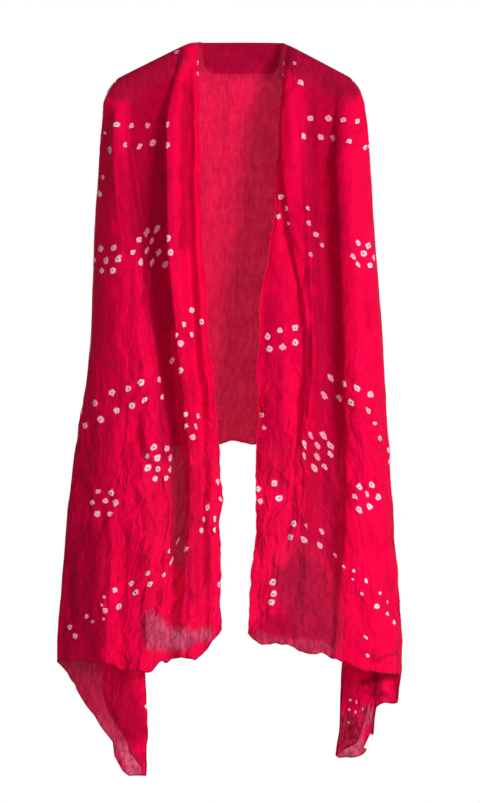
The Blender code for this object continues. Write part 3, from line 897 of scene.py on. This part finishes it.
silk = {
    "light": "#FA0348",
    "dark": "#D20038",
    # painted shade: the darker colour that the deep places are mixed towards
    "recess": "#98002A",
    # painted shade: the darker, greyer colour of one sheer layer, for what lies in shade behind it
    "sheerShade": "#BC2450",
    "dotWhite": "#F8DCE6",
    "dotPink": "#E27C9C",
    "dotHeart": "#74102C",
    "dotSquareness": 2.8,
    "dotUnevenness": 6 * mm,
    # painted shade: the dark colour of the fine crease lines
    "creaseLineShade": "#70082A",
    "sheer": 0.012,
    "sheerThin": 0.72,
    "through": "#E86484",
    "glow": 0.12,
    "dyePatches": 45 * mm,
    "crinkle": {"size": 11 * mm, "stretch": 5.0, "height": 0.9},
    "fineCrinkle": {"size": 4 * mm, "stretch": 5.0, "height": 0.2},
    "crackle": {"size": 13 * mm, "stretch": 2.2},
    "crumple": {"size": 26 * mm, "stretch": 2.0, "height": 7.5, "drift": 16 * mm},
    "creasing": {"size": 24 * mm, "height": 1.3, "sharpness": 7.0, "lean": 0.45, "drift": 0.4},
    "worn": {"From Min": 0.3, "From Max": 0.75, "To Min": 0.2, "To Max": 1.15},
}


def crinkle(tree, uv, setup):
    # sharp-topped crinkle that runs down the cloth, from 0 to 1
    squeezed = addNode(
        tree, "ShaderNodeMapping", None, {"Vector": uv, "Scale": (1.0, 1 / setup["stretch"], 1.0)}
    )
    lines = addNode(
        tree, "ShaderNodeTexNoise", {"noise_dimensions": "2D"},
        {"Vector": squeezed.outputs[0], "Scale": 1 / setup["size"], "Detail": 3.0, "Roughness": 0.55},
    ).outputs["Fac"]
    off = mathNode(tree, "ABSOLUTE", mathNode(tree, "SUBTRACT", lines, 0.5))
    return mathNode(tree, "MAXIMUM", timesPlus(tree, off, -4.0, 1.0), 0.0)


def dyeAndShadeColour(tree, uv, fine, crackle, sheerShade, deep):
    # uneven dye, with painted light: lighter on the fine crinkle's crests, painted shade in the recesses,
    # and darker and greyer where one layer hangs alone
    dye = times(tree, noiseNode(tree, uv, silk["dyePatches"], 4.0)["Fac"], 0.6)
    # painted highlight: the fine crinkle's crests are made lighter, on top of the uneven dye
    dyeAndCrestLight = plus(tree, dye, timesPlus(tree, fine, 0.15, 0.15))
    dyed = rampNode(tree, dyeAndCrestLight, (0.3, silk["dark"]), (0.75, silk["light"]))["Color"]
    # painted shade: deep places are mixed towards the recess colour, and thin places towards the darker,
    # greyer sheer colour
    dyed = mixColour(tree, deep, dyed, linear(silk["recess"]))
    dyed = mixColour(tree, sheerShade, dyed, linear(silk["sheerShade"]))
    # painted shade: fine creases show as dark lines, darker where the cloth is thin or lies back
    creaseShadeAmount = timesPlus(tree, deep, 0.35, sheerShade)
    lines = times(tree, crackle, timesPlus(tree, creaseShadeAmount, 0.95, 0.1))
    return mixColour(tree, lines, dyed, linear(silk["creaseLineShade"]))


def dottedColour(tree, uv, dyed, deep):
    # hollow tie-dots: how far this point is from the middle of its dot, squared off and wobbled
    dot = addNode(tree, "ShaderNodeAttribute", {"attribute_name": "dot"}).outputs["Vector"]
    middleX, middleY, dotSize = splitNode(tree, dot)
    wobble = driftNode(tree, uv, 5 * mm, silk["dotUnevenness"])
    offset = vectorNode(tree, "ADD", vectorNode(tree, "SUBTRACT", uv, dot), wobble)
    # the turn, size and whiteness differ from dot to dot
    angle = times(tree, mathNode(tree, "FRACT", times(tree, middleY, 317.0)), 1.6)
    turned = addNode(
        tree, "ShaderNodeVectorRotate", {"rotation_type": "Z_AXIS"}, {"Vector": offset, "Angle": angle}
    ).outputs[0]
    power = silk["dotSquareness"]
    ways = [mathNode(tree, "ABSOLUTE", way) for way in splitNode(tree, turned)[:2]]
    squares = [mathNode(tree, "POWER", way, power) for way in ways]
    far = mathNode(tree, "POWER", plus(tree, *squares), 1 / power)
    size = mathNode(tree, "MAXIMUM", times(tree, dotSize, dotChart["size"] / 2), 0.5 * mm)
    paleShare = mathNode(tree, "FRACT", times(tree, middleX, 413.0))
    pale = times(tree, mathNode(tree, "POWER", paleShare, 2.0), 0.35)
    heart, white, pink = silk["dotHeart"], silk["dotWhite"], silk["dotPink"]
    ring = rampNode(
        tree, mathNode(tree, "DIVIDE", far, size), (0.0, heart, 0.9), (0.13, heart, 0.85),
        (0.32, white, 1.0), (0.74, white, 1.0), (0.9, pink, 0.8), (1.0, pink, 0.0),
    )
    # painted shade: dots in the deep places are pinker, besides the paleness that differs at random from dot
    # to dot
    paleAndShade = timesPlus(tree, deep, 0.95, pale)
    return mixColour(tree, ring["Alpha"], dyed, mixColour(tree, paleAndShade, ring["Color"], linear(pink)))


def silkBump(tree, uv, fine, deep, calm):
    # crinkle and crumple as bump, finer than the mesh holds: heights in mm, stronger towards the ends
    worn = addNode(
        tree, "ShaderNodeMapRange", {"interpolation_type": "SMOOTHSTEP"},
        {"Value": splitNode(tree, uv)[1], **silk["worn"]},
    ).outputs[0]
    crumple, creasing = silk["crumple"], silk["creasing"]
    drift = driftNode(tree, uv, 40 * mm, 2 * crumple["drift"])
    bent = vectorNode(tree, "ADD", uv, drift)
    lessBent = vectorNode(tree, "ADD", uv, scaleNode(tree, drift, creasing["drift"]))
    squeezed = addNode(
        tree, "ShaderNodeMapping", None, {"Vector": bent, "Scale": (1.0, 1 / crumple["stretch"], 1.0)}
    ).outputs[0]
    cells = addNode(
        tree, "ShaderNodeTexVoronoi", {"voronoi_dimensions": "2D"},
        {"Vector": squeezed, "Scale": 1 / crumple["size"], "Detail": 1.0, "Roughness": 0.35},
    ).outputs["Distance"]
    # thin slanting crease lines over the broad crumple
    leaned = addNode(
        tree, "ShaderNodeMapping", None,
        {"Vector": lessBent, "Rotation": (0.0, 0.0, creasing["lean"]), "Scale": (1.0, 0.6, 1.0)},
    ).outputs[0]
    lines = addNode(
        tree, "ShaderNodeTexVoronoi", {"voronoi_dimensions": "2D", "feature": "DISTANCE_TO_EDGE"},
        {"Vector": leaned, "Scale": 1 / creasing["size"]},
    ).outputs["Distance"]
    lines = mathNode(tree, "MINIMUM", times(tree, lines, creasing["sharpness"]), 1.0)
    cells = times(tree, cells, crumple["height"])
    crumpled = times(tree, timesPlus(tree, lines, creasing["height"], cells), worn)
    long = times(tree, crinkle(tree, uv, silk["crinkle"]), silk["crinkle"]["height"])
    short = times(tree, fine, silk["fineCrinkle"]["height"])
    height = plus(tree, crumpled, plus(tree, long, short))
    # what lies back between the folds is smoother
    level = mathNode(tree, "MAXIMUM", times(tree, deep, 0.8), calm)
    strength = mathNode(tree, "SUBTRACT", 1.0, level)
    return bumpNode(tree, height, strength, 1 * mm)


def crinkledSilk():
    # sheer hand-dyed silk, wrung when wet: a soft sheen, fine length-ways crinkle, light through one layer,
    # and painted shade where it lies back or hangs single
    material, tree = newMaterial("crinkledSilk")
    uv = addNode(tree, "ShaderNodeUVMap", {"uv_map": "flat"}).outputs["UV"]
    # thin and deep carry painted shade as well as sheerness and a smoother bump
    sheerShadeCalm = addNode(tree, "ShaderNodeAttribute", {"attribute_name": "sheerShadeCalm"}).outputs["Vector"]
    sheerShade, deep, calm = splitNode(tree, sheerShadeCalm)
    fine = crinkle(tree, uv, silk["fineCrinkle"])
    crackle = mathNode(tree, "POWER", crinkle(tree, uv, silk["crackle"]), 3.0)
    colour = dottedColour(tree, uv, dyeAndShadeColour(tree, uv, fine, crackle, sheerShade, deep), deep)
    bump = silkBump(tree, uv, fine, deep, calm)
    cloth = addNode(
        tree, "ShaderNodeBsdfPrincipled", None,
        {"Base Color": colour, "Roughness": 0.55, "Specular IOR Level": 0.22,
         "Specular Tint": linear("#FF4068"), "Sheen Weight": 0.2, "Sheen Roughness": 0.4,
         "Sheen Tint": linear("#FF2850"), "Normal": bump},
    ).outputs[0]
    glow = addNode(tree, "ShaderNodeBsdfTranslucent", None, {"Color": colour, "Normal": bump}).outputs[0]
    lit = addNode(tree, "ShaderNodeMixShader", None, {0: silk["glow"], 1: cloth, 2: glow}).outputs[0]
    clear = addNode(tree, "ShaderNodeBsdfTransparent", None, {"Color": linear(silk["through"])}).outputs[0]
    # the dark crease lines are less sheer
    opened = times(tree, sheerShade, timesPlus(tree, crackle, -0.7, 1.0))
    share = timesPlus(tree, opened, silk["sheerThin"], silk["sheer"])
    body = addNode(tree, "ShaderNodeMixShader", None, {0: share, 1: lit, 2: clear}).outputs[0]
    return coverWith(material, body)


def hemSilk():
    # the same silk rolled to a cord and oversewn: denser and a little darker than the single cloth
    material, tree = newMaterial("rolledSilk")
    place = addNode(tree, "ShaderNodeTexCoord").outputs["Object"]
    mottle = noiseNode(tree, place, 6 * mm, 3.0)["Fac"]
    dyed = rampNode(tree, mottle, (0.3, "#B00430"), (0.7, "#EC0C44"))["Color"]
    # the hems are darker towards the low ends
    low = addNode(
        tree, "ShaderNodeMapRange", None,
        {"Value": splitNode(tree, place)[2], "From Min": -0.86, "From Max": -0.94},
    ).outputs[0]
    cloth = addNode(
        tree, "ShaderNodeBsdfPrincipled", None,
        {"Base Color": mixColour(tree, low, dyed, linear("#8C0028")), "Roughness": 0.6,
         "Specular IOR Level": 0.1, "Normal": bumpNode(tree, mottle, 0.5, 0.4 * mm)},
    ).outputs[0]
    return coverWith(material, cloth)


def threadMaterial():
    # fine red sewing thread, smoother and brighter than the cloth
    material, tree = newMaterial("sewingThread")
    place = addNode(tree, "ShaderNodeTexCoord").outputs["Object"]
    twist = noiseNode(tree, place, 0.6 * mm)["Fac"]
    colour = rampNode(tree, twist, (0.0, "#A80A30"), (1.0, "#E8386A"))["Color"]
    cloth = addNode(
        tree, "ShaderNodeBsdfPrincipled", None,
        {"Base Color": colour, "Roughness": 0.45, "Specular IOR Level": 0.2},
    ).outputs[0]
    return coverWith(material, cloth)


def tapeMaterial():
    # plain white woven label tape: dense satin weave, matt
    material, tree = newMaterial("wovenTape")
    place = addNode(tree, "ShaderNodeTexCoord").outputs["Object"]
    # threads 0.4 mm apart, drawn at 0.8 mm so that they show
    weave = addNode(
        tree, "ShaderNodeTexWave", {"bands_direction": "Z"},
        {"Vector": place, "Scale": 0.31 / (0.8 * mm), "Distortion": 1.0},
    ).outputs["Fac"]
    colour = rampNode(tree, weave, (0.0, "#D6DEDC"), (1.0, "#F7FAF8"))["Color"]
    cloth = addNode(
        tree, "ShaderNodeBsdfPrincipled", None,
        {"Base Color": colour, "Roughness": 0.6, "Normal": bumpNode(tree, weave, 0.4, 0.2 * mm)},
    ).outputs[0]
    return coverWith(material, cloth)


def newObject(name, mesh, material=None):
    piece = bpy.data.objects.new(name, mesh)
    bpy.context.scene.collection.objects.link(piece)
    if material:
        mesh.materials.clear()
        mesh.materials.append(material)
    return piece


# the rolled hem and its oversewing; each name with a capital is an input of the node tree
hemSettings = {"radius": 0.9 * mm, "spacing": 3.5 * mm, "unevenness": 0.5 * mm, "sides": 6}
stitchSettings = {"spacing": 6.0 * mm, "length": 2.6 * mm, "thickness": 0.3 * mm, "seed": stole["seed"]}


def edgeTree(name, settings):
    # a node tree that takes the cloth's edge and the settings, and makes a curve of the edge
    tree = bpy.data.node_groups.new(name, "GeometryNodeTree")
    tree.interface.new_socket("Geometry", in_out="INPUT", socket_type="NodeSocketGeometry")
    for key, value in settings.items():
        kind = "NodeSocketInt" if isinstance(value, int) else "NodeSocketFloat"
        tree.interface.new_socket(key.capitalize(), in_out="INPUT", socket_type=kind)
    tree.interface.new_socket("Geometry", in_out="OUTPUT", socket_type="NodeSocketGeometry")
    source = tree.nodes.new("NodeGroupInput").outputs
    path = addNode(tree, "GeometryNodeMeshToCurve", None, {"Mesh": source["Geometry"]}).outputs[0]
    return tree, source, path


def endTree(tree, geometry, material):
    real = addNode(tree, "GeometryNodeRealizeInstances", None, {"Geometry": geometry}).outputs[0]
    done = addNode(tree, "GeometryNodeSetMaterial", None, {"Geometry": real, "Material": material})
    tree.links.new(done.outputs[0], tree.nodes.new("NodeGroupOutput").inputs[0])
    return tree


def hemTree(material):
    # a cord swept along the cloth's edge, a little uneven
    tree, source, path = edgeTree("rolledHem", hemSettings)
    even = addNode(
        tree, "GeometryNodeResampleCurve", {"mode": "LENGTH"}, {"Curve": path, "Length": source["Spacing"]}
    ).outputs[0]
    place = addNode(tree, "GeometryNodeInputPosition").outputs[0]
    offset = driftNode(tree, place, 9 * mm, source["Unevenness"])
    moved = addNode(tree, "GeometryNodeSetPosition", None, {"Geometry": even, "Offset": offset}).outputs[0]
    ring = addNode(
        tree, "GeometryNodeCurvePrimitiveCircle", None,
        {"Resolution": source["Sides"], "Radius": source["Radius"]},
    ).outputs[0]
    swept = addNode(
        tree, "GeometryNodeCurveToMesh", None, {"Curve": moved, "Profile Curve": ring, "Fill Caps": True}
    ).outputs[0]
    smoothed = addNode(tree, "GeometryNodeSetShadeSmooth", None, {"Geometry": swept}).outputs[0]
    return endTree(tree, smoothed, material)


def stitchTree(material):
    # slanted oversewing stitches round the rolled hem
    tree, source, path = edgeTree("hemStitches", stitchSettings)
    spots = addNode(
        tree, "GeometryNodeCurveToPoints", {"mode": "LENGTH"}, {"Curve": path, "Length": source["Spacing"]}
    ).outputs
    tilt = addNode(
        tree, "FunctionNodeRandomValue", {"data_type": "FLOAT_VECTOR"},
        {0: (0.5, -0.2, -0.2), 1: (0.9, 0.2, 0.2), "Seed": source["Seed"]},
    ).outputs[0]
    turned = addNode(
        tree, "FunctionNodeRotateEuler", {"rotation_type": "EULER", "space": "LOCAL"},
        {"Rotation": spots["Rotation"], "Rotate By": tilt},
    ).outputs[0]
    stitch = addNode(
        tree, "GeometryNodeMeshCylinder", None,
        {"Vertices": 5, "Side Segments": 1, "Fill Segments": 1, "Radius": source["Thickness"],
         "Depth": source["Length"]},
    ).outputs[0]
    placed = addNode(
        tree, "GeometryNodeInstanceOnPoints", None,
        {"Points": spots[0], "Instance": stitch, "Rotation": turned},
    ).outputs[0]
    return endTree(tree, placed, material)


def growAlong(name, edge, tree, settings, material):
    # runs a node tree on the cloth's edge and keeps the result as a plain mesh
    line = bpy.data.meshes.new(name + "Path")
    count = len(edge)
    line.from_pydata([tuple(p) for p in edge], [(n, (n + 1) % count) for n in range(count)], [])
    guide = newObject(name + "Path", line)
    modifier = guide.modifiers.new("grow", "NODES")
    modifier.node_group = tree
    sockets = [item for item in tree.interface.items_tree if item.in_out == "INPUT"]
    identifiers = {socket.name: socket.identifier for socket in sockets}
    for key, value in settings.items():
        modifier[identifiers[key.capitalize()]] = value
    evaluated = guide.evaluated_get(bpy.context.evaluated_depsgraph_get())
    mesh = bpy.data.meshes.new_from_object(evaluated)
    bpy.data.objects.remove(guide)
    return newObject(name, mesh, material)


# the label
labelSettings = {
    "width": 10 * mm, "seam": 2.2 * mm, "span": (0.1, 0.87), "bow": 1.2 * mm, "gap": 0.35 * mm,
    "thickness": 0.7 * mm, "solids": (1.5 * mm, 1.0 * mm), "columns": 12, "rows": 24,
}


def makeLabel(material):
    place = list(rightFolds).index("tailEdge")
    upper = Vector(foldColumn("right", place)[-1])
    lower = Vector(foldColumn("right", place + 1)[-1])
    along = (lower - upper).normalized()
    outward = Vector((-along.z, 0, along.x)).normalized()
    # half the thickness of the cloth's solid and of the label's, and a gap
    lift = sum(labelSettings["solids"]) / 2 + labelSettings["gap"]
    work = bmesh.new()
    columns, rows = labelSettings["columns"], labelSettings["rows"]
    bmesh.ops.create_grid(work, x_segments=columns, y_segments=rows, size=0.5)
    first, last = labelSettings["span"]
    for vert in work.verts:
        share = first + (last - first) * (0.5 - vert.co.y)
        across = vert.co.x + 0.5
        ripple = 0.25 * mm * sin(9 * share + 4 * across)
        outside = across * labelSettings["width"] - labelSettings["seam"]
        point = upper.lerp(lower, share) + outward * outside
        point.y -= lift + labelSettings["bow"] * across * across + ripple * across
        vert.co = point
    bmesh.ops.recalc_face_normals(work, faces=work.faces)
    mesh = bpy.data.meshes.new("labelTape")
    work.to_mesh(mesh)
    work.free()
    mesh.shade_smooth()
    piece = newObject("labelTape", mesh, material)
    wall = piece.modifiers.new("thickness", "SOLIDIFY")
    wall.thickness = labelSettings["thickness"]
    wall.offset = 0
    return piece


# the studio
studio = {
    "floor": -1.32,
    "floorRadius": 1.15,
    "ambient": 0.28,
    "middle": (0, -0.05, -0.55),
    "lamps": {
        # place, size and power
        "key": ((2.1, -2.4, 0.05), (1.0, 1.2), 90),
        "fill": ((-0.2, -3.9, -0.4), (1.2, 1.8), 30),
        "back": ((-1.6, 3.0, 0.3), (1.4, 1.8), 75),
    },
    "cameraDistance": 8.0,
    "sensor": 36,
    "frameHeight": 803 * 1.6 * mm / 1.004,
    "centreX": (240 - 241.5) * 1.6 * mm,
    "centreZ": (42 - 401.5) * 1.6 * mm,
    "clothY": -0.045,
}


def makeFloor():
    # a round pale floor, so that the cloth shows from every side
    mesh = bpy.data.meshes.new("floor")
    work = bmesh.new()
    bmesh.ops.create_circle(work, cap_ends=True, segments=96, radius=studio["floorRadius"])
    bmesh.ops.translate(work, verts=work.verts, vec=(0, 0, studio["floor"]))
    work.to_mesh(mesh)
    work.free()
    material, tree = newMaterial("palePaint")
    paint = addNode(
        tree, "ShaderNodeBsdfPrincipled", None,
        {"Base Color": linear("#FBFBFB"), "Roughness": 0.9, "Specular IOR Level": 0.1},
    )
    newObject("floor", mesh, coverWith(material, paint.outputs[0]))


def makeSurround():
    # white all round, but dim as a light, so that the lamps shape the folds
    world = bpy.data.worlds.new("studioWorld")
    world.use_nodes = True
    tree = world.node_tree
    tree.nodes.clear()
    white = linear("#FFFFFF")
    ambient = addNode(tree, "ShaderNodeBackground", None, {"Color": white, "Strength": studio["ambient"]})
    seen = addNode(tree, "ShaderNodeBackground", None, {"Color": white, "Strength": 1.0})
    ray = addNode(tree, "ShaderNodeLightPath").outputs["Is Camera Ray"]
    mixed = addNode(tree, "ShaderNodeMixShader", None, {0: ray, 1: ambient.outputs[0], 2: seen.outputs[0]})
    addNode(tree, "ShaderNodeOutputWorld", None, {"Surface": mixed.outputs[0]})
    bpy.context.scene.world = world


def addLamp(name, place, size, power):
    data = bpy.data.lights.new(name, "AREA")
    data.shape = "RECTANGLE"
    data.size, data.size_y = size
    data.energy = power
    lamp = bpy.data.objects.new(name, data)
    lamp.location = place
    lamp.rotation_euler = (Vector(studio["middle"]) - Vector(place)).to_track_quat("-Z", "Y").to_euler()
    bpy.context.scene.collection.objects.link(lamp)


def makeStudio():
    makeFloor()
    makeSurround()
    for name, values in studio["lamps"].items():
        addLamp(name, *values)
    bpy.context.scene.view_settings.view_transform = "Standard"

    data = bpy.data.cameras.new("camera")
    data.sensor_fit = "VERTICAL"
    data.sensor_height = studio["sensor"]
    data.lens = studio["sensor"] * studio["cameraDistance"] / studio["frameHeight"]
    camera = bpy.data.objects.new("camera", data)
    camera.location = (studio["centreX"], studio["clothY"] - studio["cameraDistance"], studio["centreZ"])
    camera.rotation_euler = (radians(90), 0, 0)
    bpy.context.scene.collection.objects.link(camera)
    bpy.context.scene.camera = camera


def main():
    # noise_vector takes its offsets from this seed, and from the clock without it
    noise.seed_set(stole["seed"])
    silkMaterial = crinkledSilk()
    mesh, edge = makeStoleMesh()
    cloth = newObject("stoleCloth", mesh, silkMaterial)
    print("cloth:", len(mesh.polygons), "faces")
    rolled, thread = hemSilk(), threadMaterial()
    hem = growAlong("rolledHem", edge, hemTree(rolled), hemSettings, rolled)
    stitches = growAlong("hemStitches", edge, stitchTree(thread), stitchSettings, thread)
    print("hem:", len(hem.data.polygons), "faces, stitches:", len(stitches.data.polygons), "faces")
    label = makeLabel(tapeMaterial())

    for piece in (cloth, hem, stitches, label):
        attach(piece, "root")
    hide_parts("stole")
    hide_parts("label")
    makeStudio()
    print("studio made")


main()
